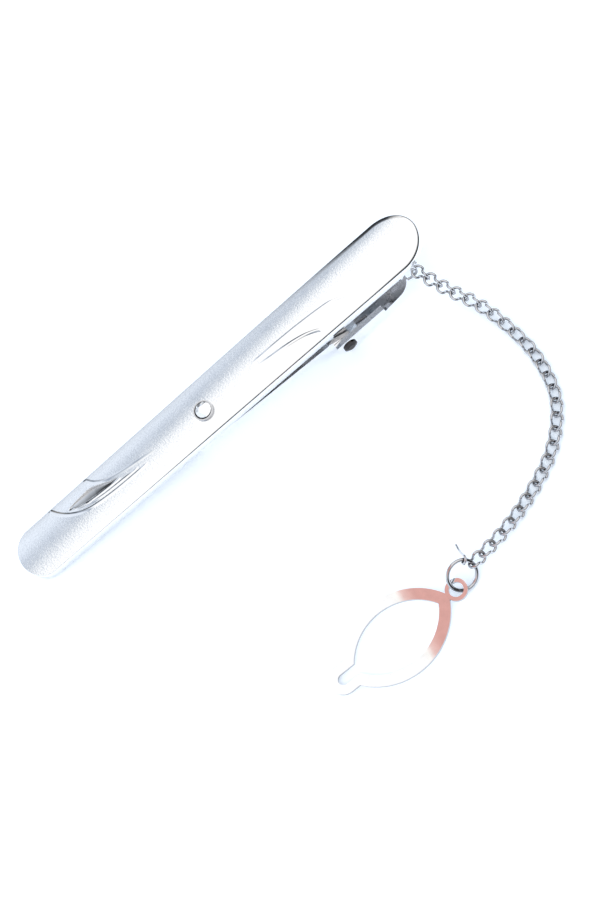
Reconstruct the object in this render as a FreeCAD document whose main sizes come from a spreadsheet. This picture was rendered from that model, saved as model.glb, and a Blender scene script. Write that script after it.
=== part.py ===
import FreeCAD
import Part
import Sketcher
import math
import os
from types import SimpleNamespace

# Tie clip with a chain and a button loop, lying on its back on a table.
# Origin: where the jaw meets the back of the bar. +X runs to the hinge end, +Z is up.
# The clip is drawn flat, with the bar's back at height 0, and then tipped to rest on the table.

SIZES = {
    # face bar, a domed strip that widens to the hinge, with two rounded ends
    "bar_length": 60.0,
    "bar_left_width": 6.3,
    "bar_right_width": 7.2,
    "bar_edge": 1.2,
    "bar_crown": 0.5,
    "left_nose": 2.7,
    "right_nose": 4.1,
    "jaw_from_left": 25.3,
    # stone and its cup
    "stone_from_jaw": 2.65,
    "stone_side_shift": 0.55,
    "bezel_diameter": 2.4,
    "bezel_wall": 0.14,
    "bezel_floor": 0.2,
    "bezel_stand": 0.35,
    "seat_depth": 0.6,
    "stone_clearance": 0.02,
    "stone_base": 0.6,
    "stone_table": 1.2,
    "stone_crown": 0.2,
    "stone_sides": 8,
    # hinge pin
    "pin_from_jaw": 19.85,
    "pin_drop": 4.8,
    "pin_diameter": 0.8,
    "pin_clearance": 0.04,
    "head_diameter": 1.75,
    "head_flat": 0.9,
    "head_rim": 0.15,
    "head_height": 0.35,
    # hinge bracket, a channel under the bar
    "bracket_width": 4.2,
    "bracket_sheet": 0.4,
    "bracket_base": 0.5,
    "bracket_ear": 0.85,
    "bracket_reach": 5.6,
    "bracket_end_height": 1.6,
    # thumb lever, a channel that holds the pin between two walls
    "lever_width": 6.8,
    "lever_sheet": 0.65,
    "lever_eye": 1.35,
    "lever_wall_height": 1.4,
    "lever_wall_reach": 5.7,
    "lever_floor_start": 2.0,
    "lever_floor_lift": 0.75,
    "lever_floor_rise": 0.65,
    "lever_reach": 10.15,
    "thumb_rise": 2.2,
    "thumb_corner": 2.0,
    # jaw arm
    "mouth_gap": 0.08,
    "tooth_width": 0.5,
    "tooth_gap": 0.5,
    "tooth_height": 0.8,
    "tip_margin": 0.2,
    "arm_width": 5.6,
    "arm_sheet": 0.5,
    "arm_flange": 0.9,
    "arm_hinge_drop": 2.5,
    "arm_plate_gap": 0.95,
    "arm_ear": 0.9,
    "ear_root": 2.0,
    "nest_clearance": 0.03,
    # torsion spring round the pin
    "spring_wire": 0.26,
    "spring_clearance": 0.08,
    "spring_pitch": 0.9,
    "spring_full_turns": 2,
    "spring_leg": 3.6,
    "upper_leg_angle": 32.0,
    "lower_leg_angle": 25.0,
    # ring in the thumb end
    "ring_hole": 1.0,
    "ring_hole_margin": 0.75,
    "ring_direction": -10.0,
    "ring_droop": 18.0,
    "ring_set_back": 0.16,
    "lever_ring_diameter": 2.6,
    "lever_ring_wire": 0.36,
    # chain
    "link_wire": 0.34,
    "link_pitch": 1.69,
    "link_gap": 0.12,
    "link_end_radius": 0.7,
    "link_twist": 35.0,
    "link_count": 27,
    "rolled_links": 9,
    "first_roll": 52.0,
    "floor_gap": 0.02,
    # jump ring and the cut link on it
    "jump_ring_diameter": 3.95,
    "jump_ring_wire": 0.45,
    "jump_ring_tilt": 45.0,
    "cut_wire": 0.3,
    "cut_place": 138.0,
    "cut_clearance": 0.1,
    "cut_hook": 250.0,
    "cut_tail": 2.6,
    "cut_tail_bend": 25.0,
    # button loop, a flat stamping
    "loop_sheet": 0.5,
    "loop_length": 11.9,
    "loop_height": 7.0,
    "loop_band": 1.3,
    "slot_width": 1.3,
    "slot_length": 1.5,
    "slot_band": 1.05,
    "slot_mouth": 1.0,
    "loop_eye_diameter": 2.6,
    "loop_eye_hole": 1.7,
    "loop_eye_offset": 2.46,
    "loop_eye_height": 0.95,
    "loop_heading": 180.0,
}

# The chain's way over the table: steps along X and Y from the lever ring, and the height of its middle line.
LYING, AT_RING = "lying", "at ring"
CHAIN_ROUTE = [
    (0.7, -1.75, 2.5),
    (1.67, -3.95, 1.7),
    (3.05, -6.95, 1.15),
    (3.9, -10.1, 0.88),
    (4.35, -13.45, 0.74),
    (4.45, -15.05, 0.64),
    (4.15, -18.15, LYING),
    (3.2, -21.45, LYING),
    (1.25, -24.25, LYING),
    (-1.55, -26.7, LYING),
    (-4.2, -28.15, LYING),
    (-7.35, -29.45, 0.64),
    (-10.25, -30.45, 0.97),
    (-12.15, -30.95, 1.22),
    (-13.6, -31.25, 1.4),
    (-14.85, -31.45, AT_RING),
    (-17.45, -31.88, AT_RING),
    (-29.95, -33.95, AT_RING),
]

doc = FreeCAD.newDocument("tie_clip")
sheet = doc.addObject("Spreadsheet::Sheet", "Sizes")
for row, (name, number) in enumerate(SIZES.items(), start=1):
    sheet.set(f"A{row}", name)
    sheet.set(f"B{row}", str(number))
    sheet.setAlias(f"B{row}", name)
doc.recompute()


class Size:
    """A number from the sheet, kept together with the sheet formula that gives it."""

    def __init__(self, value, text):
        self.value = float(value)
        self.text = text

    def __add__(self, other):
        other = as_size(other)
        return Size(self.value + other.value, f"({self.text} + {other.text})")

    def __sub__(self, other):
        other = as_size(other)
        return Size(self.value - other.value, f"({self.text} - {other.text})")

    def __mul__(self, other):
        other = as_size(other)
        return Size(self.value * other.value, f"({self.text} * {other.text})")

    def __truediv__(self, other):
        other = as_size(other)
        return Size(self.value / other.value, f"({self.text} / {other.text})")

    def __neg__(self):
        return Size(-self.value, f"(0 - {self.text})")


def as_size(number):
    return number if isinstance(number, Size) else Size(number, repr(float(number)))


def cosine(angle):
    return Size(math.cos(math.radians(angle.value)), f"cos({angle.text})")


def sine(angle):
    return Size(math.sin(math.radians(angle.value)), f"sin({angle.text})")


d = SimpleNamespace(**{name: Size(sheet.get(name), f"Sizes.{name}") for name in SIZES})
over = d.bar_right_width  # cuts run past the material by this much
up = FreeCAD.Vector(0, 0, 1)
pieces = {}


def vector(x, y, z):
    return FreeCAD.Vector(*(as_size(part).value for part in (x, y, z)))


def bind(obj, **sizes):
    for prop, size in sizes.items():
        obj.setExpression(prop, as_size(size).text)


def put(obj, x=0.0, y=0.0, z=0.0):
    for axis, size in (("x", x), ("y", y), ("z", z)):
        obj.setExpression(f"Placement.Base.{axis}", as_size(size).text)


def keep(obj, label, place):
    """Names a finished piece and sets it in its place."""
    doc.recompute()
    obj.Label = label
    obj.Placement = place
    pieces[label] = obj


# Drawing helpers


def sketch(body, name, role, corners=(), circle=None):
    """A closed outline of straight sides, or one circle, with every point tied to the sheet."""
    drawing = body.newObject("Sketcher::SketchObject", name)
    plane = next(part for part in body.Origin.OriginFeatures if part.Role == role)
    drawing.AttachmentSupport = [(plane, "")]
    drawing.MapMode = "FlatFace"

    def tie(kind, size, *where):
        index = drawing.addConstraint(Sketcher.Constraint(kind, *where, as_size(size).value))
        drawing.setExpression(f"Constraints[{index}]", as_size(size).text)

    for index, start in enumerate(corners):
        end = corners[(index + 1) % len(corners)]
        drawing.addGeometry(Part.LineSegment(vector(*start, 0), vector(*end, 0)))
    for index, (across, height) in enumerate(corners):
        drawing.addConstraint(Sketcher.Constraint("Coincident", index, 2, (index + 1) % len(corners), 1))
        tie("DistanceX", across, -1, 1, index, 1)
        tie("DistanceY", height, -1, 1, index, 1)
    if circle:
        across, height, radius = circle
        drawing.addGeometry(Part.Circle(vector(across, height, 0), up, radius.value))
        tie("DistanceX", across, -1, 1, 0, 3)
        tie("DistanceY", height, -1, 1, 0, 3)
        tie("Radius", radius, 0)
    return drawing


def add_pad(body, name, width, **outline):
    """Material on both sides of the body's middle plane, width thick in all."""
    feature = body.newObject("PartDesign::Pad", name)
    feature.Profile = sketch(body, name + "_outline", "XZ_Plane", **outline)
    feature.SideType = "Symmetric"
    bind(feature, Length=width)
    body.Tip = feature
    return feature


def add_pocket(body, name, width, role="XZ_Plane", **outline):
    """A cut on both sides of a plane, width thick in all. It has to take material away."""
    doc.recompute()
    before = body.Shape.Volume
    feature = body.newObject("PartDesign::Pocket", name)
    feature.Profile = sketch(body, name + "_outline", role, **outline)
    feature.SideType = "Symmetric"
    bind(feature, Length=width)
    body.Tip = feature
    doc.recompute()
    if not body.Shape.Volume < before:
        raise RuntimeError(f"{name} cuts nothing")


def add_turning(body, name, role, axis_role, corners):
    """A half outline turned once round an axis of the body."""
    feature = body.newObject("PartDesign::Revolution", name)
    feature.Profile = sketch(body, name + "_outline", role, corners=corners)
    axis = next(part for part in body.Origin.OriginFeatures if part.Role == axis_role)
    feature.ReferenceAxis = (axis, [""])
    feature.Angle = 360
    body.Tip = feature


def add_cylinder(name, radius, height):
    cylinder = doc.addObject("Part::Cylinder", name)
    bind(cylinder, Radius=radius, Height=height)
    return cylinder


def arc_edge(start, middle, end):
    return Part.Arc(start, middle, end).toShape()


def wire_solid(edges, diameter):
    """A round wire along arcs that follow on smoothly."""
    runs = []
    for edge in edges:
        start = edge.valueAt(edge.FirstParameter)
        ring = Part.makeCircle(diameter / 2, start, edge.tangentAt(edge.FirstParameter))
        turn = math.degrees(edge.LastParameter - edge.FirstParameter)
        runs.append(Part.Face(Part.Wire(ring)).revolve(edge.Curve.Center, edge.Curve.Axis, turn))
    return runs[0].multiFuse(runs[1:]).Solids[0]


# How the clip rests: the left tip of the bar and the round walls of the lever are on the table.

span = (d.pin_from_jaw + d.jaw_from_left).value
rest_pitch = math.asin(d.lever_eye.value / math.hypot(span, d.pin_drop.value))
rest_pitch += math.atan2(d.pin_drop.value, span)
tipped = FreeCAD.Rotation(FreeCAD.Vector(0, 1, 0), -math.degrees(rest_pitch))
resting = FreeCAD.Placement(FreeCAD.Vector(), tipped)
table = -d.jaw_from_left.value * math.sin(rest_pitch)


def resting_at(x, y, z):
    return resting * FreeCAD.Placement(vector(x, y, z), FreeCAD.Rotation())


# Face bar

bar_left = -d.jaw_from_left
bar_right = d.bar_length - d.jaw_from_left
bar_crest = d.bar_edge + d.bar_crown
dome_radius = d.bar_right_width * d.bar_right_width / (d.bar_crown * 8) + d.bar_crown / 2


def nose_edge(centre, half_width, reach):
    """Half an ellipse from one side of the bar round its tip to the other side."""
    middle = vector(centre, 0.0, 0.0)
    tip = FreeCAD.Vector(reach, 0, 0)
    side = FreeCAD.Vector(0, -math.copysign(half_width.value, reach), 0)
    if tip.Length > side.Length:
        ellipse, first = Part.Ellipse(middle + tip, middle - side, middle), -math.pi / 2
    else:
        ellipse, first = Part.Ellipse(middle + side, middle + tip, middle), 0.0
    return Part.ArcOfEllipse(ellipse, first, first + math.pi).toShape()


left_shoulder, left_half = bar_left + d.left_nose, d.bar_left_width / 2
right_shoulder, right_half = bar_right - d.right_nose, d.bar_right_width / 2


def bar_side(start_x, start_y, end_x, end_y):
    return Part.LineSegment(vector(start_x, start_y, 0.0), vector(end_x, end_y, 0.0)).toShape()


bar_outline = doc.addObject("Part::Feature", "bar_outline")
bar_outline.Shape = Part.Wire([
    bar_side(left_shoulder, -left_half, right_shoulder, -right_half),
    nose_edge(right_shoulder, right_half, d.right_nose.value),
    bar_side(right_shoulder, right_half, left_shoulder, left_half),
    nose_edge(left_shoulder, left_half, -d.left_nose.value),
])
bar_blank = doc.addObject("Part::Extrusion", "bar_blank")
bar_blank.Base = bar_outline
bar_blank.DirMode = "Custom"
bar_blank.Dir = up
bar_blank.Solid = True
bind(bar_blank, LengthFwd=bar_crest)
bar_dome = add_cylinder("bar_dome", dome_radius, d.bar_length + over * 2)
bar_dome.Placement.Rotation = FreeCAD.Rotation(FreeCAD.Vector(0, 1, 0), 90)
put(bar_dome, bar_left - over, 0.0, bar_crest - dome_radius)
bar_domed = doc.addObject("Part::Common", "bar_domed")
bar_domed.Base = bar_blank
bar_domed.Tool = bar_dome
stone_seat = add_cylinder("stone_seat", d.bezel_diameter / 2, d.seat_depth + over)
put(stone_seat, d.stone_from_jaw, -d.stone_side_shift, bar_crest - d.seat_depth)
face_bar = doc.addObject("Part::Cut", "face_bar")
face_bar.Base = bar_domed
face_bar.Tool = stone_seat
keep(face_bar, "face_bar", resting)

# Stone cup and stone

stone_place = resting_at(d.stone_from_jaw, -d.stone_side_shift, bar_crest - d.seat_depth)
bezel_radius = d.bezel_diameter / 2
bezel_inside = bezel_radius - d.bezel_wall
bezel_height = d.seat_depth + d.bezel_stand
bezel = doc.addObject("PartDesign::Body", "stone_bezel_body")
add_turning(bezel, "bezel_cup", "XZ_Plane", "Z_Axis", [
    (0.0, 0.0),
    (bezel_radius, 0.0),
    (bezel_radius, bezel_height),
    (bezel_inside, bezel_height),
    (bezel_inside, d.bezel_floor),
    (0.0, d.bezel_floor),
])
keep(bezel, "stone_bezel", stone_place)

girdle_radius = bezel_inside - d.stone_clearance
facet_rings = []
for name, radius, height in (
    ("stone_foot", d.stone_base / 2, d.bezel_floor + d.stone_clearance),
    ("stone_girdle", girdle_radius, bezel_height - d.stone_clearance),
    ("stone_table_ring", d.stone_table / 2, bezel_height + d.stone_crown),
):
    facets = doc.addObject("Part::RegularPolygon", name)
    bind(facets, Polygon=d.stone_sides, Circumradius=radius)
    put(facets, 0.0, 0.0, height)
    facet_rings.append(facets)
crystal = doc.addObject("Part::Loft", "crystal_facets")
crystal.Sections = facet_rings
crystal.Solid = True
crystal.Ruled = True
keep(crystal, "crystal", stone_place)

# Hinge pin, with a domed head at each end

pin_x = d.pin_from_jaw
pin_z = -d.pin_drop
pin_radius = d.pin_diameter / 2
pin_bore = pin_radius + d.pin_clearance
pin_place = resting_at(pin_x, 0.0, pin_z)
head_in = d.lever_width / 2
head_edge = head_in + d.head_rim
head_out = head_in + d.head_height
pin = doc.addObject("PartDesign::Body", "hinge_pin_body")
add_turning(pin, "pin_turning", "XY_Plane", "Y_Axis", [
    (0.0, -head_out),
    (d.head_flat / 2, -head_out),
    (d.head_diameter / 2, -head_edge),
    (d.head_diameter / 2, -head_in),
    (pin_radius, -head_in),
    (pin_radius, head_in),
    (d.head_diameter / 2, head_in),
    (d.head_diameter / 2, head_edge),
    (d.head_flat / 2, head_out),
    (0.0, head_out),
])
keep(pin, "hinge_pin", pin_place)

# Hinge bracket, soldered to the back of the bar

bracket = doc.addObject("PartDesign::Body", "hinge_bracket_body")
bracket_left = pin_x - d.bracket_ear
bracket_right = pin_x + d.bracket_reach
add_pad(bracket, "bracket_block", d.bracket_width, corners=[
    (bracket_left, pin_z),
    (bracket_left, 0.0),
    (bracket_right, 0.0),
    (bracket_right, -d.bracket_end_height),
    (pin_x + d.bracket_ear, pin_z),
])
add_pad(bracket, "bracket_ears", d.bracket_width, circle=(pin_x, pin_z, d.bracket_ear))
add_pocket(bracket, "bracket_channel", d.bracket_width - d.bracket_sheet * 2, corners=[
    (bracket_left - over, -d.bracket_base),
    (bracket_left - over, pin_z - over),
    (bracket_right + over, pin_z - over),
    (bracket_right + over, -d.bracket_base),
])
add_pocket(bracket, "bracket_bore", d.bracket_width + over, circle=(pin_x, pin_z, pin_bore))
keep(bracket, "hinge_bracket", resting)

# Thumb lever: two walls on a floor, and a thumb plate with a hole for the ring

lever = doc.addObject("PartDesign::Body", "thumb_lever_body")
lever_left = pin_x - d.lever_eye
lever_top = pin_z + d.lever_wall_height
lever_bottom = pin_z - d.lever_eye
floor_start = pin_x + d.lever_floor_start
wall_end = pin_x + d.lever_wall_reach
thumb_end = pin_x + d.lever_reach
floor_slope = d.lever_floor_rise / (d.lever_wall_reach - d.lever_floor_start)
floor_bottom = lever_bottom + d.lever_floor_lift
wall_end_bottom = floor_bottom + d.lever_floor_rise
thumb_bottom = lever_bottom + d.thumb_rise
thumb_slope = (thumb_bottom - wall_end_bottom) / (thumb_end - wall_end)
add_pad(lever, "lever_walls", d.lever_width, corners=[
    (lever_left, pin_z),
    (lever_left, lever_top),
    (wall_end, lever_top),
    (wall_end, wall_end_bottom),
    (floor_start, floor_bottom),
    (pin_x, lever_bottom),
])
add_pad(lever, "lever_eyes", d.lever_width, circle=(pin_x, pin_z, d.lever_eye))
add_pocket(lever, "lever_channel", d.lever_width - d.lever_sheet * 2, corners=[
    (lever_left - over, lever_bottom - over),
    (floor_start, lever_bottom - over),
    (floor_start, floor_bottom + d.lever_sheet),
    (wall_end + over, wall_end_bottom + d.lever_sheet + floor_slope * over),
    (wall_end + over, lever_top + over),
    (lever_left - over, lever_top + over),
])
add_pocket(lever, "lever_bore", d.lever_width + over, circle=(pin_x, pin_z, pin_bore))
thumb_plate = add_pad(lever, "thumb_plate", d.lever_width, corners=[
    (wall_end, wall_end_bottom),
    (thumb_end, thumb_bottom),
    (thumb_end, thumb_bottom + d.lever_sheet),
    (wall_end, wall_end_bottom + d.lever_sheet),
])
doc.recompute()
end_corners = [
    f"Edge{index}"
    for index, edge in enumerate(thumb_plate.Shape.Edges, start=1)
    if abs(edge.BoundBox.XMin - thumb_end.value) < 1e-6 and edge.BoundBox.YLength < 1e-6
]
rounding = lever.newObject("PartDesign::Fillet", "thumb_rounding")
rounding.Base = (thumb_plate, end_corners)
bind(rounding, Radius=d.thumb_corner)
lever.Tip = rounding
corner_x = thumb_end - d.thumb_corner
corner_y = d.thumb_corner - d.lever_width / 2
hole_out = d.thumb_corner - d.ring_hole_margin
hole_x = corner_x + cosine(d.ring_direction) * hole_out
hole_y = corner_y + sine(d.ring_direction) * hole_out
add_pocket(lever, "thumb_hole", d.pin_drop * 4, role="XY_Plane", circle=(hole_x, hole_y, d.ring_hole / 2))
keep(lever, "thumb_lever", resting)

# Jaw arm: a flanged strip with a toothed tip, and two ears that nest in the lever

arm = doc.addObject("PartDesign::Body", "jaw_arm_body")
tooth_top = -d.mouth_gap
tooth_root = tooth_top - d.tooth_height
tooth_in = d.tooth_gap / 2
tooth_out = tooth_in + d.tooth_width
tip = tooth_out + d.tip_margin
plate_end = bracket_left - d.arm_plate_gap
plate_end_top = -d.arm_hinge_drop
plate_slope = (plate_end_top - tooth_root) / (plate_end - tip)
root_x = plate_end - d.ear_root
root_top = plate_end_top - plate_slope * d.ear_root
add_pad(arm, "arm_strip", d.arm_width, corners=[
    (-tip, tooth_root - d.arm_flange),
    (-tip, tooth_root),
    (-tooth_out, tooth_root),
    (-tooth_out, tooth_top),
    (-tooth_in, tooth_top),
    (-tooth_in, tooth_root),
    (tooth_in, tooth_root),
    (tooth_in, tooth_top),
    (tooth_out, tooth_top),
    (tooth_out, tooth_root),
    (tip, tooth_root),
    (plate_end, plate_end_top),
    (plate_end, plate_end_top - d.arm_flange),
    (tip, tooth_root - d.arm_flange),
])
add_pocket(arm, "arm_channel", d.arm_width - d.arm_sheet * 2, corners=[
    (-tip - over, tooth_root - d.arm_sheet),
    (tip, tooth_root - d.arm_sheet),
    (plate_end + over, plate_end_top - d.arm_sheet + plate_slope * over),
    (plate_end + over, pin_z - over),
    (-tip - over, pin_z - over),
])
ear_outside = d.lever_width / 2 - d.lever_sheet - d.nest_clearance
ear_inside = ear_outside - d.arm_sheet
add_pad(arm, "arm_ears", ear_outside * 2, corners=[
    (root_x, root_top),
    (plate_end, plate_end_top),
    (pin_x + d.arm_ear, pin_z + d.arm_ear),
    (pin_x + d.arm_ear, pin_z),
    (pin_x - d.arm_ear, pin_z),
    (root_x, root_top - d.arm_flange),
])
add_pad(arm, "arm_ear_eyes", ear_outside * 2, circle=(pin_x, pin_z, d.arm_ear))
add_pocket(arm, "arm_ear_gap", ear_inside * 2, corners=[
    (root_x, root_top - d.arm_sheet),
    (plate_end, plate_end_top - d.arm_sheet),
    (plate_end, 0.0),
    (pin_x + over, 0.0),
    (pin_x + over, pin_z - over),
    (root_x, pin_z - over),
])
add_pocket(arm, "arm_bore", d.arm_width + over, circle=(pin_x, pin_z, pin_bore))
keep(arm, "jaw_arm", resting)


# Torsion spring: a leg, a close coil round the pin and a second leg, as one wire


def biarc(start, start_way, end, end_way):
    """Two arcs that join two points and leave and meet them along the given directions."""
    chord = end - start
    ways = start_way + end_way
    square = 2 * (1 - start_way.dot(end_way))
    along = chord.dot(ways)
    if square > 1e-9:
        reach = (math.sqrt(along ** 2 + square * chord.dot(chord)) - along) / square
    else:
        reach = chord.dot(chord) / (2 * along)
    first_corner = start + start_way * reach
    second_corner = end - end_way * reach
    meeting = (first_corner + second_corner) * 0.5
    edges = []
    for begin, corner, finish in ((start, first_corner, meeting), (meeting, second_corner, end)):
        middle = (begin + finish) * 0.5
        half = (finish - begin).Length / 2
        bend = math.acos(min(1.0, half / reach))
        bulge = math.tan(bend / 2) / math.tan(bend)
        edges.append(arc_edge(begin, middle + (corner - middle) * bulge, finish))
    return edges


coil_radius = (pin_radius + d.spring_clearance + d.spring_wire / 2).value
coil_start = 90 + d.upper_leg_angle.value
coil_turn = 360 * d.spring_full_turns.value + 180 - d.upper_leg_angle.value + d.lower_leg_angle.value
quarters = math.ceil(coil_turn / 90)
coil_step = coil_turn / quarters
rise_step = d.spring_pitch.value * coil_step / 360
coil_rise = rise_step * (quarters - 1)


def coil_point(index):
    angle = math.radians(coil_start + coil_step * index)
    height = min(max(index - 0.5, 0), quarters - 1) * rise_step - coil_rise / 2
    flat = index in (0, quarters)
    way = FreeCAD.Vector(-math.sin(angle), 0 if flat else rise_step / math.radians(coil_step) / coil_radius,
                         math.cos(angle))
    point = FreeCAD.Vector(coil_radius * math.cos(angle), height, coil_radius * math.sin(angle))
    return point, way.normalize()


stations = [coil_point(index) for index in range(quarters + 1)]
coil_edges = []
for (start, start_way), (end, end_way) in zip(stations, stations[1:]):
    coil_edges += biarc(start, start_way, end, end_way)
leg = d.spring_leg.value
first_point, first_way = stations[0]
last_point, last_way = stations[-1]
spring_path = Part.Wire([
    Part.LineSegment(first_point - first_way * leg, first_point).toShape(),
    *coil_edges,
    Part.LineSegment(last_point, last_point + last_way * leg).toShape(),
])
spring_ring = Part.Wire(Part.makeCircle(d.spring_wire.value / 2, first_point - first_way * leg, first_way))
spring = doc.addObject("Part::Feature", "torsion_spring_wire")
spring.Shape = spring_path.makePipeShell([spring_ring], True, False)
keep(spring, "torsion_spring", pin_place)

coil_points = [point for edge in coil_edges for point in edge.discretize(8)[:-1]]
apart = round(len(coil_points) / (coil_turn / 360) / 2)
least_gap = min(
    (first - second).Length
    for index, first in enumerate(coil_points)
    for second in coil_points[index + apart:]
) - d.spring_wire.value
print(f"torsion spring: least gap to itself {least_gap:.3f} mm")

# Ring in the thumb hole

ring_radius = (d.lever_ring_diameter - d.lever_ring_wire) / 2
lever_ring = doc.addObject("Part::Torus", "lever_ring_wire")
bind(lever_ring, Radius1=ring_radius, Radius2=d.lever_ring_wire / 2)
ring_way = vector(cosine(d.ring_direction), sine(d.ring_direction), 0.0)
ring_hang = ring_way * cosine(d.ring_droop).value - up * sine(d.ring_droop).value
ring_z = thumb_bottom - thumb_slope * (thumb_end - hole_x) + d.lever_sheet / 2
ring_grip = vector(hole_x, hole_y, ring_z) - ring_way * d.ring_set_back.value
ring_centre = ring_grip + ring_hang * ring_radius.value
across_ring = FreeCAD.Rotation(up, up.cross(ring_way))
keep(lever_ring, "lever_ring", resting * FreeCAD.Placement(ring_centre, across_ring))

# Chain: one link after another along the route, each twisted so that the chain lies flat

twist = math.radians(d.link_twist.value)
end_radius = d.link_end_radius.value
half_length = ((d.link_pitch + d.link_wire + d.link_gap) / 2).value
half_run = half_length - end_radius
lying_height = end_radius * math.sin(twist) + d.link_wire.value / 2
jump_radius = ((d.jump_ring_diameter - d.jump_ring_wire) / 2).value
jump_tilt = math.radians(d.jump_ring_tilt.value)
jump_height = jump_radius * math.sin(jump_tilt) + d.jump_ring_wire.value / 2


def link_solid():
    """A long link whose two round ends are turned opposite ways about its length."""
    sideways, rise = end_radius * math.cos(twist), end_radius * math.sin(twist)
    sway = 2 * math.atan2(rise, half_run)
    sway_radius = half_run / math.sin(sway)

    def end_point(end, angle):
        angle = math.radians(angle)
        return FreeCAD.Vector(end * (half_run + end_radius * math.cos(angle)), sideways * math.sin(angle),
                              end * rise * math.sin(angle))

    def round_end(end, first, step):
        return [
            arc_edge(*(end_point(end, first + step * (quarter + part)) for part in (0, 0.5, 1)))
            for quarter in (0, 1)
        ]

    def side(end, across):
        start = FreeCAD.Vector(end * half_run, across, rise)
        middle = FreeCAD.Vector(0, across, 0)
        end_of_side = FreeCAD.Vector(-start.x, across, -rise)
        bulge_x = end * (half_run - sway_radius * math.sin(sway / 2))
        bulge_z = rise - sway_radius * (1 - math.cos(sway / 2))
        return [
            arc_edge(start, FreeCAD.Vector(bulge_x, across, bulge_z), middle),
            arc_edge(middle, FreeCAD.Vector(-bulge_x, across, -bulge_z), end_of_side),
        ]

    edges = round_end(1, -90, 90) + side(1, sideways) + round_end(-1, 90, -90) + side(-1, -sideways)
    return wire_solid(edges, d.link_wire.value)


chain_start = resting.multVec(ring_centre + ring_hang * ring_radius.value)
heights = {LYING: lying_height + d.floor_gap.value, AT_RING: jump_height + d.floor_gap.value}
route_points = [chain_start] + [
    FreeCAD.Vector(chain_start.x + x, chain_start.y + y, table + heights.get(height, height))
    for x, y, height in CHAIN_ROUTE
]
route = Part.BSplineCurve()
route.interpolate(route_points)


def march(place, distance):
    """The next place on the route that is the given straight distance away."""
    here = route.value(place)
    low, high = place, min(place + distance * 4 / route.length() * route.LastParameter, route.LastParameter)
    for halving in range(40):
        middle = (low + high) / 2
        if (route.value(middle) - here).Length < distance:
            low = middle
        else:
            high = middle
    return low


link_count = int(d.link_count.value)
grip = half_length - (d.link_wire / 2 + d.link_gap).value
places = [route.FirstParameter]
places.append(march(places[-1], grip - d.lever_ring_wire.value / 2))
for index in range(link_count - 1):
    places.append(march(places[-1], d.link_pitch.value))
places.append(march(places[-1], grip - d.jump_ring_wire.value / 2))
chain_points = [route.value(place) for place in places]

one_link = link_solid()
for number in range(1, link_count + 1):
    along = (chain_points[number + 1] - chain_points[number - 1]).normalize()
    across = up.cross(along).normalize()
    roll = d.first_roll.value * max(0.0, 1 - ((number - 1) / d.rolled_links.value) ** 2)
    facing = FreeCAD.Rotation(along, across, along.cross(across), "XYZ")
    facing = FreeCAD.Rotation(along, roll).multiply(facing)
    link = doc.addObject("Part::Feature", f"link_{number:02d}")
    link.Shape = one_link
    keep(link, f"chain_link_{number:02d}", FreeCAD.Placement(chain_points[number], facing))

# Jump ring: it leans over, hangs in the last link and passes through the eye of the loop

chain_end = chain_points[-1]
onward = chain_end - chain_points[-2]
onward.z = 0
onward.normalize()
aside = FreeCAD.Vector(onward.y, -onward.x, 0)
leaning = aside * math.cos(jump_tilt) + up * math.sin(jump_tilt)
jump_axis = onward.cross(leaning)
jump_centre = chain_end + onward * jump_radius
jump_centre.z = table + heights[AT_RING]
jump_ring = doc.addObject("Part::Torus", "jump_ring_wire")
bind(jump_ring, Radius1=(d.jump_ring_diameter - d.jump_ring_wire) / 2, Radius2=d.jump_ring_wire / 2)
keep(jump_ring, "jump_ring", FreeCAD.Placement(jump_centre, FreeCAD.Rotation(up, jump_axis)))


def on_jump_ring(angle):
    return jump_centre + (onward * math.cos(angle) + leaning * math.sin(angle)) * jump_radius


# Cut link: a bent end of wire hooked round the jump ring

cut_angle = math.radians(d.cut_place.value)
cut_seat = on_jump_ring(cut_angle)
cut_out = (cut_seat - jump_centre).normalize()
hook_radius = (d.jump_ring_wire / 2 + d.cut_wire / 2 + d.cut_clearance).value
tail_bend = math.radians(d.cut_tail_bend.value)
tail_radius = d.cut_tail.value / tail_bend


def hook_point(turn):
    angle = math.radians(turn)
    return (cut_out * math.cos(angle) + jump_axis * math.sin(angle)) * hook_radius


def tail_point(angle):
    outward = cut_out * (hook_radius + tail_radius * (1 - math.cos(angle)))
    return outward + jump_axis * (tail_radius * math.sin(angle))


hook = d.cut_hook.value
cut_edges = [
    arc_edge(hook_point(-hook), hook_point(-hook * 0.75), hook_point(-hook / 2)),
    arc_edge(hook_point(-hook / 2), hook_point(-hook * 0.25), hook_point(0)),
    arc_edge(tail_point(0), tail_point(tail_bend / 2), tail_point(tail_bend)),
]
cut_link = doc.addObject("Part::Feature", "cut_link_wire")
cut_link.Shape = wire_solid(cut_edges, d.cut_wire.value)
keep(cut_link, "cut_link", FreeCAD.Placement(cut_seat, FreeCAD.Rotation()))

# Button loop: a pointed oval with an eye at one end and a keyhole slot at the other

lens_radius = (d.loop_length * d.loop_length + d.loop_height * d.loop_height) / (d.loop_height * 4)
lens_shift = lens_radius - d.loop_height / 2
lens_middle = d.loop_eye_offset + d.loop_length / 2
far_point = d.loop_eye_offset + d.loop_length
slot_centre = far_point + d.slot_length
tab_width = d.slot_width + d.slot_band * 2


def disc(name, radius, x, y=0.0):
    cylinder = add_cylinder(name, radius, d.loop_sheet)
    put(cylinder, x, y, -d.loop_sheet / 2)
    return cylinder


def lens(name, radius):
    oval = doc.addObject("Part::Common", name)
    oval.Base = disc(name + "_upper", radius, lens_middle, lens_shift)
    oval.Tool = disc(name + "_lower", radius, lens_middle, -lens_shift)
    return oval


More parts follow.
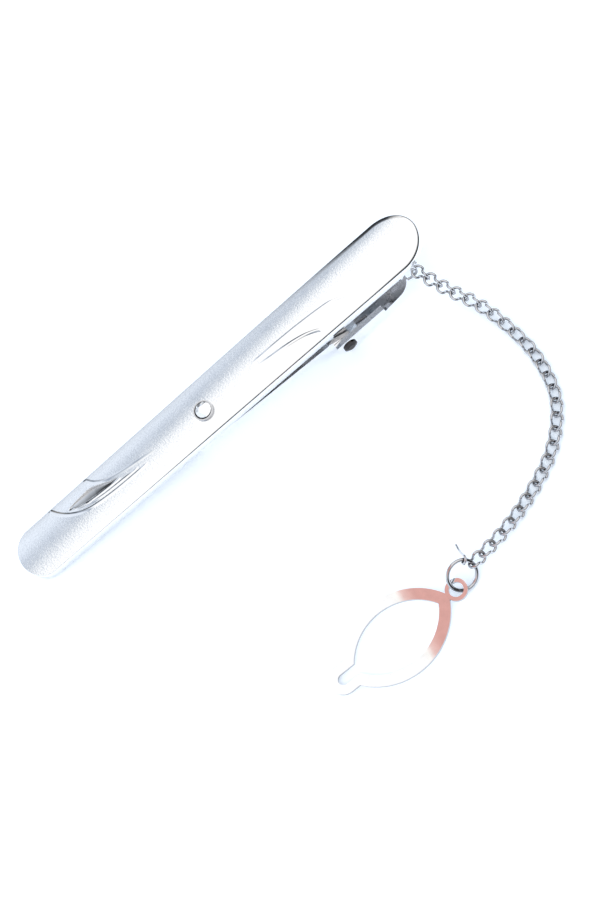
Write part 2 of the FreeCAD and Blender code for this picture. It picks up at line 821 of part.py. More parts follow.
def strip(name, start, width):
    box = doc.addObject("Part::Box", name)
    bind(box, Length=slot_centre - start, Width=width, Height=d.loop_sheet)
    put(box, start, -width / 2, -d.loop_sheet / 2)
    return box


loop_blank = doc.addObject("Part::MultiFuse", "loop_blank")
loop_blank.Shapes = [
    lens("loop_outer", lens_radius + d.loop_band),
    disc("loop_eye", d.loop_eye_diameter / 2, 0.0),
    strip("loop_tab", far_point, tab_width),
    disc("loop_tab_end", tab_width / 2, slot_centre),
]
loop_cuts = doc.addObject("Part::MultiFuse", "loop_cuts")
loop_cuts.Shapes = [
    lens("loop_inner", lens_radius),
    disc("loop_eye_hole", d.loop_eye_hole / 2, 0.0),
    strip("loop_slot", far_point - d.slot_mouth, d.slot_width),
    disc("loop_slot_end", d.slot_width / 2, slot_centre),
]
button_loop = doc.addObject("Part::Cut", "button_loop_plate")
button_loop.Base = loop_blank
button_loop.Tool = loop_cuts
button_loop.Refine = True
eye_drop = jump_height - d.loop_eye_height.value
eye_angle = -math.asin(eye_drop / (jump_radius * math.sin(jump_tilt)))
eye_centre = on_jump_ring(eye_angle)
loop_far = (slot_centre + tab_width / 2).value
loop_slope = math.asin((d.loop_eye_height - d.loop_sheet / 2).value / loop_far)
heading = FreeCAD.Rotation(up, d.loop_heading.value)
sloping = FreeCAD.Rotation(FreeCAD.Vector(0, 1, 0), math.degrees(loop_slope))
keep(button_loop, "button_loop", FreeCAD.Placement(eye_centre, heading.multiply(sloping)))

# Every piece has to be one sound solid before any is written.

doc.recompute()
failed = [obj.Name for obj in doc.Objects if "Invalid" in obj.State or "Error" in obj.State]
for label, piece in pieces.items():
    if piece.Shape.isNull() or not piece.Shape.isValid() or len(piece.Shape.Solids) != 1:
        failed.append(label)
if failed:
    raise RuntimeError("not sound: " + ", ".join(failed))

os.makedirs("parts", exist_ok=True)
for label, piece in pieces.items():
    piece.Shape.exportStep(f"parts/{label}.step")
print(f"{len(pieces)} pieces, rest pitch {math.degrees(rest_pitch):.2f} degrees, table at {table:.3f} mm")
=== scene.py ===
import bpy
import math
import numpy as np
from mathutils import Matrix, Vector


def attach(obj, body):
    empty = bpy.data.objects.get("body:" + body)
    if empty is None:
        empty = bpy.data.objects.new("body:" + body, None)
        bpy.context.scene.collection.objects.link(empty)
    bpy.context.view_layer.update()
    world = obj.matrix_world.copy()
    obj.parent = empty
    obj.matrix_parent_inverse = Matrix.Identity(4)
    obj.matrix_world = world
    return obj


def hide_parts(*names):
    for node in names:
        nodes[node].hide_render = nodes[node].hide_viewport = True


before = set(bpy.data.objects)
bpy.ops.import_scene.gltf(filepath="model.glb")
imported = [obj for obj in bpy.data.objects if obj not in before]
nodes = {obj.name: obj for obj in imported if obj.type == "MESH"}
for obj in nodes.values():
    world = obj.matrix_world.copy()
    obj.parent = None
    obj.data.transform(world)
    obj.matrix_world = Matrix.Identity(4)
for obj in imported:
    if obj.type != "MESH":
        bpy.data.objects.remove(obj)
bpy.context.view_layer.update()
mm = 0.001

# How the clip rests on the table, as in the CAD model
rest = {
    "tipFromJaw": 25.3,
    "pinFromJaw": 19.85,
    "pinDrop": 4.8,
    "leverEye": 1.35,
}
restSpan = rest["tipFromJaw"] + rest["pinFromJaw"]
restPitch = math.asin(rest["leverEye"] / math.hypot(restSpan, rest["pinDrop"]))
restPitch += math.atan2(rest["pinDrop"], restSpan)
tableHeight = -rest["tipFromJaw"] * math.sin(restPitch)
resting = Matrix.Rotation(-restPitch, 4, "Y")
print("stage: frame loaded, table at", round(tableHeight, 3), "mm")


# Node helpers


def newMaterial(name):
    material = bpy.data.materials.new(name)
    material.use_nodes = True
    tree = material.node_tree
    shader = next(node for node in tree.nodes if node.type == "BSDF_PRINCIPLED")
    return material, tree, shader


def addNode(tree, kind, inputs=None, **settings):
    node = tree.nodes.new(kind)
    for name, value in settings.items():
        setattr(node, name, value)
    for name, value in (inputs or {}).items():
        if isinstance(value, bpy.types.NodeSocket):
            tree.links.new(value, node.inputs[name])
        else:
            node.inputs[name].default_value = value
    return node


def addRamp(tree, factor, stops):
    ramp = addNode(tree, "ShaderNodeValToRGB", {"Fac": factor})
    while len(ramp.color_ramp.elements) < len(stops):
        ramp.color_ramp.elements.new(0.5)
    for element, (place, colour) in zip(ramp.color_ramp.elements, stops):
        element.position = place
        element.color = colour if len(colour) == 4 else (*colour, 1)
    return ramp.outputs["Color"]


def addRange(tree, value, low, high, lowOut=0.0, highOut=1.0, kind="SMOOTHSTEP"):
    limits = {"Value": value, "From Min": low, "From Max": high, "To Min": lowOut, "To Max": highOut}
    return addNode(tree, "ShaderNodeMapRange", limits, interpolation_type=kind).outputs["Result"]


def addMath(tree, kind, first, second):
    return addNode(tree, "ShaderNodeMath", {0: first, 1: second}, operation=kind).outputs[0]


def grey(level):
    return (level, level, level, 1)


def useMaterial(obj, *materials):
    obj.data.materials.clear()
    for material in materials:
        obj.data.materials.append(material)


def addPiece(name, points, faces, materials, kinds, smooth):
    mesh = bpy.data.meshes.new(name)
    mesh.from_pydata(points, [], faces)
    mesh.update()
    piece = bpy.data.objects.new(name, mesh)
    bpy.context.scene.collection.objects.link(piece)
    useMaterial(piece, *materials)
    mesh.polygons.foreach_set("material_index", kinds)
    mesh.polygons.foreach_set("use_smooth", smooth)
    return piece


# Camera, fitted to the photograph

camera = {
    "target": (8.3177, -9.3321, tableHeight),
    "elevation": 66.0,
    "roll": 37.8527,
    "distance": 260.0,
    "pixelsPerMm": 8.713,
    "imageHeight": 900,
    "sensor": 36.0,
    "clip": (0.001, 20),
}


def placeCamera():
    data = bpy.data.cameras.new("camera")
    data.sensor_fit = "VERTICAL"
    data.sensor_height = camera["sensor"]
    focalPixels = camera["pixelsPerMm"] * camera["distance"]
    data.lens = focalPixels * camera["sensor"] / camera["imageHeight"]
    data.clip_start, data.clip_end = camera["clip"]
    lift = math.radians(camera["elevation"])
    back = Vector((0, -math.cos(lift), math.sin(lift)))
    level = Matrix.Rotation(math.radians(90) - lift, 4, "X")
    roll = Matrix.Rotation(-math.radians(camera["roll"]), 4, "Z")
    place = (Vector(camera["target"]) + back * camera["distance"]) * mm
    obj = bpy.data.objects.new("camera", data)
    obj.matrix_world = Matrix.Translation(place) @ level @ roll
    bpy.context.scene.collection.objects.link(obj)
    bpy.context.scene.camera = obj


placeCamera()
print("stage: camera")

# Floor, surroundings and lamps

studio = {
    "floorSize": 6.0,
    "floorDrop": 0.02,
    "floorColour": (0.97, 0.97, 0.97, 1),
    "floorRoughness": 0.9,
    "floorGlow": 0.27,  # what the camera and reflections see on top of the lit floor
    "floorTint": (0.62, 0.79, 1.0, 1),
    "skyColour": (0.97, 1.06, 1.17, 1),
    "skyLevel": 1.0,
    "keyPlace": (-230, -190, 420),
    "keyAim": (5, -15, 0),
    "keySize": 0.26,
    "keyPower": 0.45,
    "keyColour": (1.0, 0.86, 0.72),
    "brightWay": (0.8704, -0.2105, 0.4451),  # the bright half of the dome lies this way
    "brightReach": 0.25,
    "domeLevel": 1.15,
    "dome": [
        (0.0, (0.77, 0.83, 0.914)),
        (0.26, (0.77, 0.83, 0.914)),
        (0.37, (0.68, 0.743, 0.832)),
        (0.47, (0.307, 0.355, 0.436)),
        (0.575, (0.709, 0.764, 0.818)),
        (0.62, (1.0, 1.0, 1.0)),
    ],
    "lowWay": (0.0, 0.13, 1.0),  # the dark foot of the dome is higher on the near side
    "lowReach": (0.36, 0.74),
    "lowSide": (-0.8, -0.4),  # the dark foot fades out towards -X
    "lowShare": 0.96,
    "roseCorners": [(5.2, -25, 7), (13.2, -25, 7), (13.2, -39, 7), (3.2, -39, 7)],
    "roseWay": (1.0, -0.147, 0.0),
    "roseFade": (0.0086, 0.0124),
    "roseLevel": 1.1,
    "rose": [
        (0.0, (1.0, 1.0, 1.0)),
        (0.35, (1.0, 0.97, 0.935)),
        (0.6, (0.84, 0.58, 0.54)),
        (1.0, (0.705, 0.382, 0.343)),
    ],
}


def makeFloor():
    half = studio["floorSize"] / 2
    height = (tableHeight - studio["floorDrop"]) * mm
    mesh = bpy.data.meshes.new("floor")
    corners = [(-half, -half, height), (half, -half, height), (half, half, height), (-half, half, height)]
    mesh.from_pydata(corners, [], [(0, 1, 2, 3)])
    floor = bpy.data.objects.new("floor", mesh)
    bpy.context.scene.collection.objects.link(floor)
    material, tree, shader = newMaterial("floor_paper")
    shader.inputs["Base Color"].default_value = studio["floorColour"]
    shader.inputs["Roughness"].default_value = studio["floorRoughness"]
    shader.inputs["Specular IOR Level"].default_value = 0.0
    path = addNode(tree, "ShaderNodeLightPath")
    seen = addMath(tree, "MAXIMUM", path.outputs["Is Camera Ray"], path.outputs["Is Glossy Ray"])
    seen = addMath(tree, "MAXIMUM", seen, path.outputs["Is Transmission Ray"])
    level = addMath(tree, "MULTIPLY", seen, studio["floorGlow"])
    glow = addNode(tree, "ShaderNodeEmission", {"Color": studio["floorTint"], "Strength": level})
    both = addNode(tree, "ShaderNodeAddShader", {0: shader.outputs[0], 1: glow.outputs[0]})
    output = next(node for node in tree.nodes if node.type == "OUTPUT_MATERIAL")
    tree.links.new(both.outputs[0], output.inputs["Surface"])
    useMaterial(floor, material)


def makeSurroundings():
    world = bpy.data.worlds.new("studio")
    bpy.context.scene.world = world
    world.use_nodes = True
    tree = world.node_tree
    tree.nodes.clear()
    way = addNode(tree, "ShaderNodeTexCoord").outputs["Generated"]
    parts = addNode(tree, "ShaderNodeSeparateXYZ", {"Vector": way})
    facing = addNode(tree, "ShaderNodeVectorMath", {0: way, 1: studio["brightWay"]}, operation="DOT_PRODUCT")
    reach = studio["brightReach"]
    share = addRange(tree, facing.outputs["Value"], -reach, reach, kind="LINEAR")
    dome = addRamp(tree, share, studio["dome"])
    height = addNode(tree, "ShaderNodeVectorMath", {0: way, 1: studio["lowWay"]}, operation="DOT_PRODUCT")
    low = addRange(tree, height.outputs["Value"], *studio["lowReach"], 1.0, 0.0)
    side = addRange(tree, parts.outputs["X"], *studio["lowSide"], 0.0, studio["lowShare"])
    level = addMath(tree, "SUBTRACT", 1.0, addMath(tree, "MULTIPLY", low, side))
    seen = addNode(tree, "ShaderNodeVectorMath", {0: dome, "Scale": level}, operation="SCALE")
    rays = addNode(tree, "ShaderNodeLightPath")
    reflected = addNode(tree, "ShaderNodeBackground",
                        {"Color": seen.outputs["Vector"], "Strength": studio["domeLevel"]})
    lighting = addNode(tree, "ShaderNodeBackground",
                       {"Color": studio["skyColour"], "Strength": studio["skyLevel"]})
    backdrop = addNode(tree, "ShaderNodeBackground", {"Color": grey(1.0), "Strength": 1.0})
    shiny = addMath(tree, "MAXIMUM", rays.outputs["Is Glossy Ray"], rays.outputs["Is Transmission Ray"])
    first = addNode(tree, "ShaderNodeMixShader", {0: shiny, 1: lighting.outputs[0], 2: reflected.outputs[0]})
    second = addNode(tree, "ShaderNodeMixShader",
                     {0: rays.outputs["Is Camera Ray"], 1: first.outputs[0], 2: backdrop.outputs[0]})
    addNode(tree, "ShaderNodeOutputWorld", {"Surface": second.outputs[0]})


def addKey():
    data = bpy.data.lights.new("key", "AREA")
    data.shape = "RECTANGLE"
    data.size = data.size_y = studio["keySize"]
    data.energy = studio["keyPower"]
    data.color = studio["keyColour"]
    lamp = bpy.data.objects.new("key", data)
    place = Vector(studio["keyPlace"])
    turn = (Vector(studio["keyAim"]) - place).normalized().to_track_quat("-Z", "Y")
    lamp.matrix_world = Matrix.Translation(place * mm) @ turn.to_matrix().to_4x4()
    lamp.visible_camera = False
    lamp.visible_glossy = False
    bpy.context.scene.collection.objects.link(lamp)


def addRoseCard():
    mesh = bpy.data.meshes.new("rose_card")
    mesh.from_pydata([Vector(corner) * mm for corner in studio["roseCorners"]], [], [(0, 1, 2, 3)])
    card = bpy.data.objects.new("rose_card", mesh)
    bpy.context.scene.collection.objects.link(card)
    material = bpy.data.materials.new("rose_card")
    material.use_nodes = True
    tree = material.node_tree
    tree.nodes.clear()
    coords = addNode(tree, "ShaderNodeTexCoord").outputs["Object"]
    along = addNode(tree, "ShaderNodeVectorMath", {0: coords, 1: studio["roseWay"]}, operation="DOT_PRODUCT")
    colour = addRamp(tree, addRange(tree, along.outputs["Value"], *studio["roseFade"]), studio["rose"])
    glow = addNode(tree, "ShaderNodeEmission", {"Color": colour, "Strength": studio["roseLevel"]})
    addNode(tree, "ShaderNodeOutputMaterial", {"Surface": glow.outputs[0]})
    useMaterial(card, material)
    card.visible_camera = False
    card.visible_diffuse = False
    card.visible_shadow = False


makeFloor()
makeSurroundings()
addKey()
addRoseCard()
print("stage: floor, surroundings and lamps")

# Finishes

satinLook = {
    "grainScale": 4600.0,
    "grainDetail": 3.0,
    "grainRoughness": 0.6,
    "cloudScale": 420.0,
    "tone": [(0.3, (0.87, 0.88, 0.90)), (0.65, (0.975, 0.98, 0.99))],
    "roughness": [(0.3, grey(0.1)), (0.75, grey(0.15))],
    "bump": 0.6,
    "bumpHeight": 1.4e-5,
}
platedLook = {
    "hazeScale": 900.0,
    "fineScale": 3800.0,
    "darkShare": 0.93,
    "roughShares": (0.6, 1.5),
    "bumpHeight": 1e-5,
    "wallReach": (0.25, 0.5),  # the normal's upright share, from upright wall to flat face; upright walls are darkened as painted shade
}
chainLook = {
    "fineScale": 3000.0,
    "shadeReach": 0.0009,
    # colour from near black where other surfaces are close to the plating tone in the open: painted shade
    "paintedShade": [(0.3, (0.03, 0.03, 0.035)), (0.8, (0.62, 0.62, 0.64))],
    "bump": 0.15,
    "bumpHeight": 1e-5,
    "roughness": 0.06,
}
stoneLook = {
    "veilScale": 1500.0,
    "tint": [(0.3, (0.93, 0.94, 0.96)), (0.7, (1, 1, 1))],
    "metallic": 0.8,
    "roughness": 0.02,
}


def addNoise(tree, scale, detail, **settings):
    coords = addNode(tree, "ShaderNodeTexCoord").outputs["Object"]
    inputs = {"Vector": coords, "Scale": scale, "Detail": detail, **settings}
    return addNode(tree, "ShaderNodeTexNoise", inputs).outputs["Fac"]


def addBump(tree, height, strength, distance):
    inputs = {"Height": height, "Strength": strength, "Distance": distance}
    return addNode(tree, "ShaderNodeBump", inputs).outputs["Normal"]


def satinFinish():
    material, tree, shader = newMaterial("satin_silver")
    grain = addNoise(tree, satinLook["grainScale"], satinLook["grainDetail"],
                     Roughness=satinLook["grainRoughness"])
    cloud = addNoise(tree, satinLook["cloudScale"], 2.0)
    normal = addBump(tree, grain, satinLook["bump"], satinLook["bumpHeight"])
    tree.links.new(addRamp(tree, grain, satinLook["tone"]), shader.inputs["Base Color"])
    tree.links.new(addRamp(tree, cloud, satinLook["roughness"]), shader.inputs["Roughness"])
    tree.links.new(normal, shader.inputs["Normal"])
    shader.inputs["Metallic"].default_value = 1.0
    return material


def platedFinish(name, colour, roughness, scratch, wallShade=1.0):
    material, tree, shader = newMaterial(name)
    haze = addNoise(tree, platedLook["hazeScale"], 3.0)
    fine = addNoise(tree, platedLook["fineScale"], 2.0)
    dark = tuple(part * platedLook["darkShare"] for part in colour)
    smooth, rough = (roughness * share for share in platedLook["roughShares"])
    tint = addRamp(tree, haze, [(0.3, dark), (0.7, colour)])
    dull = addRamp(tree, haze, [(0.35, grey(smooth)), (0.75, grey(rough))])
    # upright walls get their colour scaled down by wallShade: painted shade, while flat faces keep the full
    # colour
    normal = addNode(tree, "ShaderNodeNewGeometry").outputs["Normal"]
    facing = addNode(tree, "ShaderNodeSeparateXYZ", {"Vector": normal})
    flat = addMath(tree, "ABSOLUTE", facing.outputs["Z"], 0.0)
    share = addRange(tree, flat, *platedLook["wallReach"], wallShade, 1.0)
    shaded = addNode(tree, "ShaderNodeVectorMath", {0: tint, "Scale": share}, operation="SCALE")
    tree.links.new(shaded.outputs["Vector"], shader.inputs["Base Color"])
    tree.links.new(dull, shader.inputs["Roughness"])
    tree.links.new(addBump(tree, fine, scratch, platedLook["bumpHeight"]), shader.inputs["Normal"])
    shader.inputs["Metallic"].default_value = 1.0
    return material


def chainFinish():
    material, tree, shader = newMaterial("chain_plating")
    fine = addNoise(tree, chainLook["fineScale"], 2.0)
    # darkest where links, the stone or other parts crowd close: painted shade
    openness = addNode(tree, "ShaderNodeAmbientOcclusion", {"Distance": chainLook["shadeReach"]}, samples=8)
    paintedShade = addRamp(tree, openness.outputs["AO"], chainLook["paintedShade"])
    tree.links.new(paintedShade, shader.inputs["Base Color"])
    tree.links.new(addBump(tree, fine, chainLook["bump"], chainLook["bumpHeight"]), shader.inputs["Normal"])
    shader.inputs["Metallic"].default_value = 1.0
    shader.inputs["Roughness"].default_value = chainLook["roughness"]
    return material


def stoneFinish():
    material, tree, shader = newMaterial("clear_stone")
    veil = addNoise(tree, stoneLook["veilScale"], 2.0)
    tree.links.new(addRamp(tree, veil, stoneLook["tint"]), shader.inputs["Base Color"])
    shader.inputs["Metallic"].default_value = stoneLook["metallic"]
    shader.inputs["Roughness"].default_value = stoneLook["roughness"]
    shader.inputs["Coat Weight"].default_value = 1.0
    shader.inputs["Coat Roughness"].default_value = 0.0
    return material


satin = satinFinish()
polished = platedFinish("polished_plating", (0.94, 0.94, 0.95), 0.06, 0.1)
# the button loop's plating, with painted shade on its upright walls
wallShadedPlating = platedFinish("plating_with_painted_wall_shade", (0.94, 0.94, 0.95), 0.06, 0.1, 0.55)
chainPlate = chainFinish()
# near-black plating for the hinge pin: painted dark reflection on a polished pin
pinPaintedDarkReflection = platedFinish("pin_painted_dark_reflection", (0.055, 0.05, 0.05), 0.06, 0.12)
# duller plating for the bar's back; on the hinge bracket and the scoop's lip its darker colour is painted
# shade
dullBackAndPaintedShade = platedFinish("dull_back_and_painted_shade", (0.64, 0.64, 0.65), 0.3, 0.3)
springWire = platedFinish("spring_wire", (0.62, 0.62, 0.64), 0.2, 0.3)
foil = platedFinish("stone_foil", (0.95, 0.95, 0.97), 0.03, 0.02)
stone = stoneFinish()
print("stage: finishes")

# Face bar: a domed strip that widens to the hinge, with a fine rim, raised beads and a scooped panel

bar = {
    "left": -25.3,
    "right": 34.7,
    "leftHalf": 3.15,
    "rightHalf": 3.6,
    "edge": 1.2,
    "crown": 0.5,
    "leftNose": 2.7,
    "rightNose": 4.1,
    "rimPlaces": [-25, -15, -6, 2, 14, 26, 34],
    "upperRim": [0.06, 0.08, 0.09, 0.1, 0.12, 0.15, 0.2],
    "lowerRim": [0.05, 0.07, 0.13, 0.24, 0.27, 0.28, 0.5],
    "rimBlend": 3.0,  # the rims change from one to the other over this width
    "foot": 0.03,
    "shoulderPlaces": [12, 22, 27, 31],
    "shoulderSlope": [0.0, 0.07, 0.15, 0.25],
    "shoulderWidth": 0.7,
    "shoulderPower": 1.25,
    "shoulderFade": 1.5,
    "reliefFade": 0.3,
    "crestRound": 0.3,
    "brightRelief": 0.002,
    "brightShoulder": 0.04,
    "columnsInNose": 44,
    "columnRuns": [(-19.6, 0.1), (-5.5, 0.06), (1.3, 0.1), (4.0, 0.04), (9.0, 0.1), (25.0, 0.08),
                   (30.6, 0.1)],
    "tipGap": 1e-4,
    "rows": 200,
    "rowShares": (0.55, 0.45),  # rows crowd at the rims by the first share
    "seat": (2.65, -0.55),
    "seatRadius": 1.13,
    "seatFloor": 1.1,
}
beads = [
    {"points": [(-19.08, 3.2), (-18.35, 2.04), (-17.6, 1.2), (-16.7, 0.52), (-15.83, 0.06),
                (-14.86, -0.27), (-13.67, -0.48), (-12.48, -0.61), (-11.07, -0.72), (-9.32, -0.77),
                (-7.57, -0.8), (-6.17, -0.8)],
     "widths": (0.5, 0.42), "height": 0.095, "fadeIn": 0.02, "fadeOut": 0.1},
    {"points": [(-16.8, 1.12), (-15.65, 0.57), (-14.67, 0.26), (-13.47, -0.02), (-12.29, -0.18),
                (-11.11, -0.26), (-9.7, -0.33), (-8.53, -0.4), (-7.4, -0.46)],
     "widths": (0.4, 0.4), "height": 0.095, "fadeIn": 0.08, "fadeOut": 0.2},
    {"points": [(-17.0, 1.25), (-16.1, 0.78), (-14.7, 0.44), (-13.2, 0.26), (-11.7, 0.16), (-9.8, 0.04)],
     "widths": (0.36, 0.4), "height": 0.085, "fadeIn": 0.04, "fadeOut": 0.15},
    {"points": [(-13.64, 3.28), (-12.89, 2.19), (-12.23, 1.61), (-11.6, 1.26), (-10.51, 0.9), (-8.83, 0.51),
                (-6.47, 0.13), (-4.35, -0.17)],
     "widths": (0.55, 0.45), "height": 0.05, "fadeIn": 0.02, "fadeOut": 0.6},
    {"points": [(10.29, -0.04), (13.84, -0.11), (16.92, -0.22), (20.0, -0.46), (21.71, -0.7), (22.97, -1.18),
                (24.34, -1.81)],
     "widths": (0.4, 0.4), "height": 0.066, "fadeIn": 0.15, "fadeOut": 0.1},
    {"points": [(9.75, -0.6), (12.05, -0.93), (14.35, -1.18), (16.07, -1.45), (17.33, -1.76), (18.48, -2.23),
                (19.17, -2.69)],
     "widths": (0.5, 0.45), "height": 0.115, "fadeIn": 0.4, "fadeOut": 0.12},
]
scoop = {
    "lower": [(-16.9, 1.38), (-16.1, 0.98), (-14.7, 0.65), (-13.2, 0.48), (-11.7, 0.38), (-9.9, 0.27)],
    "upper": [(-16.9, 1.48), (-15.5, 1.66), (-13.9, 1.78), (-13.3, 1.72), (-12.4, 1.32), (-11.2, 0.74),
              (-9.9, 0.33)],
    "depth": 0.3,
    "bow": 0.4,
    "lip": 0.05,
    "lipShare": 0.12,
    "lipStart": 0.98,
    "fullRoom": 1.2,
    "sharePlaces": [-16.9, -13.5, -12, -10.5],
    "shares": [0.7, 1.0, 1.2, 1.4],
}


def smoothLine(points, perSpan=9):
    corners = [np.array(point, float) for point in points]
    corners = [2 * corners[0] - corners[1], *corners, 2 * corners[-1] - corners[-2]]
    line = []
    for a, b, c, e in zip(corners, corners[1:], corners[2:], corners[3:]):
        for step in range(perSpan):
            t = step / perSpan
            line.append(0.5 * (2 * b + (c - a) * t + (2 * a - 5 * b + 4 * c - e) * t ** 2
                               + (3 * b - a - 3 * c + e) * t ** 3))
    line.append(corners[-2])
    return np.array(line)


def nearestOnLine(x, y, line):
    best = np.full(x.shape, 1e9)
    along = np.zeros(x.shape)
    for index, (start, end) in enumerate(zip(line, line[1:])):
        way = end - start
        t = np.clip(((x - start[0]) * way[0] + (y - start[1]) * way[1]) / (way @ way), 0, 1)
        gap = (x - start[0] - way[0] * t) ** 2 + (y - start[1] - way[1] * t) ** 2
        nearer = gap < best
        best = np.where(nearer, gap, best)
        along = np.where(nearer, (index + t) / (len(line) - 1), along)
    return np.sqrt(best), along


def barHalf(x):
    first, last = bar["left"] + bar["leftNose"], bar["right"] - bar["rightNose"]
    return np.interp(x, [first, last], [bar["leftHalf"], bar["rightHalf"]])


def barOutline(x):
    left = np.clip((bar["left"] + bar["leftNose"] - x) / bar["leftNose"], 0, 1)
    right = np.clip((x - bar["right"] + bar["rightNose"]) / bar["rightNose"], 0, 1)
    return barHalf(x) * np.sqrt(1 - np.maximum(left, right) ** 2)


def distanceToRim(x, y):
    gap = barHalf(x) - np.abs(y)
    for nose, centre, half, way in (
        (bar["leftNose"], bar["left"] + bar["leftNose"], bar["leftHalf"], -1),
        (bar["rightNose"], bar["right"] - bar["rightNose"], bar["rightHalf"], 1),
    ):
        out = np.maximum((x - centre) * way, 0)
        reach = np.sqrt((out / nose) ** 2 + (y / half) ** 2)
        slope = np.sqrt((out / nose ** 2) ** 2 + (y / half ** 2) ** 2) / np.maximum(reach, 1e-6)
        gap = np.where(out > 0, (1 - reach) / np.maximum(slope, 1e-6), gap)
    return np.maximum(gap, 0)


def rimWidth(x, y):
    upper = np.interp(x, bar["rimPlaces"], bar["upperRim"])
    lower = np.interp(x, bar["rimPlaces"], bar["lowerRim"])
    return upper + (lower - upper) * np.clip(0.5 - y / bar["rimBlend"], 0, 1)


def beadHeight(x, y, bead):
    line = smoothLine(bead["points"])
    spare = max(bead["widths"])
    near = (x > line[:, 0].min() - spare) & (x < line[:, 0].max() + spare)
    near &= (y > line[:, 1].min() - spare) & (y < line[:, 1].max() + spare)
    rise = np.zeros(x.shape)
    gap, along = nearestOnLine(x[near], y[near], line)
    width = bead["widths"][0] + (bead["widths"][1] - bead["widths"][0]) * along
    fade = np.clip(along / bead["fadeIn"], 0, 1) * np.clip((1 - along) / bead["fadeOut"], 0, 1)
    place = np.clip(2 * gap / width, 0, 1)
    crest = bar["crestRound"]
    roof = (np.hypot(place, crest) - crest) / (np.hypot(1, crest) - crest)  # straight flanks, rounded crest
    rise[near] = bead["height"] * fade * (1 - roof)
    return rise


def scoopDepth(x, y):
    lower, upper = np.array(scoop["lower"]), np.array(scoop["upper"])
    floor = np.interp(x, lower[:, 0], lower[:, 1])
    room = np.maximum(np.interp(x, upper[:, 0], upper[:, 1]) - floor, 1e-3)
    place = np.clip((y - floor) / room, 0, 1)
    inside = (x > lower[0, 0]) & (x < lower[-1, 0])
    depth = scoop["depth"] * np.interp(x, scoop["sharePlaces"], scoop["shares"])
    depth = depth * np.minimum(room / scoop["fullRoom"], 1) * inside
    deep = 1 - np.minimum(scoop["lip"] / room, scoop["lipShare"])
    fall = np.clip(place / deep, 0, 1)
    bowed = (1 + scoop["bow"]) * fall - scoop["bow"] * fall ** 2
    onLip = inside & (place >= deep * scoop["lipStart"]) & (place < 1)
    return depth * np.where(place < deep, bowed, (1 - place) / (1 - deep)), onLip


def barRelief(x, y):
    relief = -scoopDepth(x, y)[0]
    for bead in beads:
        relief = relief + beadHeight(x, y, bead)
    return relief * np.clip(distanceToRim(x, y) / bar["reliefFade"], 0, 1)


def shoulderDrop(x, y):
    slope = np.interp(x, bar["shoulderPlaces"], bar["shoulderSlope"])
    slope = slope * np.clip(y / bar["shoulderFade"], 0, 1)
    width = bar["shoulderWidth"]
    return slope * width * np.clip(1 - distanceToRim(x, y) / width, 0, 1) ** bar["shoulderPower"]


def barTop(x, y):
    radius = bar["rightHalf"] ** 2 / (2 * bar["crown"]) + bar["crown"] / 2
    height = bar["edge"] + bar["crown"] - radius + np.sqrt(radius ** 2 - y ** 2)
    rimGap = distanceToRim(x, y)
    rim = rimWidth(x, y)
    inRim = np.clip(rim - rimGap, 0, rim)
    height = height - shoulderDrop(x, y) + barRelief(x, y) - rim + np.sqrt(rim ** 2 - inRim ** 2)
    inSeat = np.hypot(x - bar["seat"][0], y - bar["seat"][1]) < bar["seatRadius"]
    return np.where(inSeat, bar["seatFloor"], height)


def barColumns():
    nose = np.linspace(0, math.pi / 2, bar["columnsInNose"] + 1)
    leftNose = bar["left"] + bar["leftNose"] * (1 - np.cos(nose))
    rightNose = bar["right"] - bar["rightNose"] * (1 - np.cos(nose[::-1]))
    runs = [leftNose]
    for end, step in bar["columnRuns"]:
        start = runs[-1][-1]
        runs.append(np.linspace(start, end, round((end - start) / step) + 1)[1:])
    columns = np.concatenate([*runs, rightNose[1:]])
    columns[0] += bar["tipGap"]
    columns[-1] -= bar["tipGap"]
    return columns


def makeBar():
    columns = barColumns()
    spread = np.linspace(-1, 1, bar["rows"] + 1)
    crowded, even = bar["rowShares"]
    spread = np.sin(spread * math.pi / 2) * crowded + spread * even
    x = np.repeat(columns[:, None], len(spread), 1)
    y = barOutline(columns)[:, None] * spread[None, :]
    top = np.stack([x, y, barTop(x, y)], -1)
    bright = distanceToRim(x, y) < rimWidth(x, y)
    bright |= np.abs(barRelief(x, y)) > bar["brightRelief"]
    bright |= shoulderDrop(x, y) > bar["brightShoulder"]
    onLip = scoopDepth(x, y)[1]
    across = len(spread)
    points = [tuple(point) for point in top.reshape(-1, 3)]
    faces = []
    kinds = []
    for column in range(len(columns) - 1):
        for row in range(across - 1):
            corner = column * across + row
            faces.append((corner, corner + across, corner + across + 1, corner + 1))
            patch = (slice(column, column + 2), slice(row, row + 2))
            # faces on the scoop's lip take the darker back plating as painted shade
            kinds.append(2 if onLip[patch].any() else 1 if bright[patch].sum() > 2 else 0)
    loop = [column * across for column in range(len(columns))]
    loop += [(len(columns) - 1) * across + row for row in range(1, across)]
    loop += [column * across + across - 1 for column in range(len(columns) - 2, -1, -1)]
    loop += list(range(across - 2, 0, -1))
    above = loop
    for height, inset in ((bar["foot"], 0.0), (0.0, bar["foot"])):
        below = []
        for index in loop:
            px, py = points[index][:2]
            points.append((px, py * (1 - inset / bar["rightHalf"]), height))
            below.append(len(points) - 1)
        for index in range(len(loop)):
            after = (index + 1) % len(loop)
            faces.append((above[index], below[index], below[after], above[after]))
            kinds.append(1)
        above = below
    faces.append(tuple(above[::-1]))
    kinds.append(2)
    points = [resting @ (Vector(point) * mm) for point in points]
    smooth = [kind != 2 for kind in kinds]  # the scoop's lip and the back stay flat
    piece = addPiece("bar_face", points, faces, (satin, polished, dullBackAndPaintedShade), kinds, smooth)
    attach(piece, "bar")
    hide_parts("face_bar")


makeBar()
print("stage: face bar")

# Stone: a small brilliant on foil, in its cup

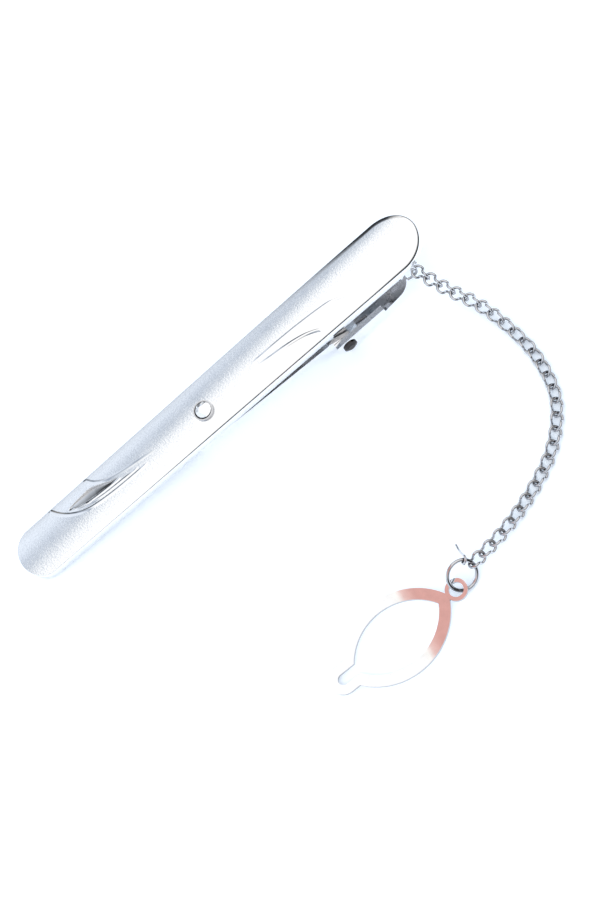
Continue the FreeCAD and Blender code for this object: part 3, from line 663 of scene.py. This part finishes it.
gem = {
    "sides": 8,
    "turn": 0.2,
    "girdle": 0.97,
    "girdleHeight": 0.93,
    "table": 0.5,
    "tableHeight": 1.12,
    "crown": 0.76,
    "crownHeight": 1.05,
    "pavilion": 0.5,
    "pavilionHeight": 0.8,
    "culetHeight": 0.7,
    "shift": (0.07, 0.05),
}


def makeStone():
    def ring(radius, height, count, turn):
        angles = [turn + index * math.tau / count for index in range(count)]
        return [(radius * math.cos(angle), radius * math.sin(angle), height) for angle in angles]

    sides, turn = gem["sides"], gem["turn"]
    crownAt, girdleAt, pavilionAt, culetAt = sides, 2 * sides, 4 * sides, 5 * sides
    between = turn + math.tau / sides / 2
    points = ring(gem["table"], gem["tableHeight"], sides, turn)
    points += ring(gem["crown"], gem["crownHeight"], sides, between)
    points += ring(gem["girdle"], gem["girdleHeight"], 2 * sides, turn)
    points += ring(gem["pavilion"], gem["pavilionHeight"], sides, between)
    points.append((0, 0, gem["culetHeight"]))
    faces = [tuple(range(sides))]
    kinds = [0]
    for index in range(sides):
        after = (index + 1) % sides
        crown, crownBefore = crownAt + index, crownAt + (index - 1) % sides
        pavilion, pavilionBefore = pavilionAt + index, pavilionAt + (index - 1) % sides
        edge, side, nextEdge = girdleAt + 2 * index, girdleAt + 2 * index + 1, girdleAt + 2 * after
        faces += [(index, crown, after), (index, crownBefore, edge, crown), (crown, edge, side),
                  (crown, side, nextEdge)]
        kinds += [0] * 4
        faces += [(pavilion, side, edge), (pavilion, nextEdge, side), (pavilionBefore, pavilion, edge),
                  (culetAt, pavilion, pavilionBefore)]
        kinds += [1] * 4
    seat = Vector((bar["seat"][0] + gem["shift"][0], bar["seat"][1] + gem["shift"][1], bar["seatFloor"]))
    points = [resting @ ((seat + Vector(point)) * mm) for point in points]
    piece = addPiece("stone_facets", points, faces, (stone, foil), kinds, [False] * len(faces))
    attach(piece, "bar")
    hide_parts("crystal")


makeStone()
print("stage: stone")

# The other pieces keep their CAD shapes, with finishes and small bevels

finishes = {
    "crystal": stone,
    "face_bar": satin,
    # the bezel takes the chain plating, whose painted shade darkens it round the stone
    "stone_bezel": chainPlate,
    # the bracket's darker back plating is painted shade
    "hinge_bracket": dullBackAndPaintedShade,
    # the pin's near-black colour is a painted dark reflection
    "hinge_pin": pinPaintedDarkReflection,
    "torsion_spring": springWire,
    "lever_ring": chainPlate,
    "jump_ring": chainPlate,
    "cut_link": chainPlate,
    "button_loop": wallShadedPlating,
}
softEdges = {"thumb_lever": (0.08, 2), "hinge_pin": (0.3, 4), "button_loop": (0.12, 3), "jaw_arm": (0.08, 2)}
bevelAngle = 50.0
for name, node in nodes.items():
    if name.startswith("chain_link"):
        useMaterial(node, chainPlate)
    else:
        useMaterial(node, finishes.get(name, polished))
for name, (width, segments) in softEdges.items():
    edges = nodes[name].modifiers.new("soft_edges", "BEVEL")
    edges.width = width * mm
    edges.segments = segments
    edges.limit_method = "ANGLE"
    edges.angle_limit = math.radians(bevelAngle)
    edges.use_clamp_overlap = True
print("stage: plated pieces")

bpy.context.scene.view_settings.view_transform = "Standard"
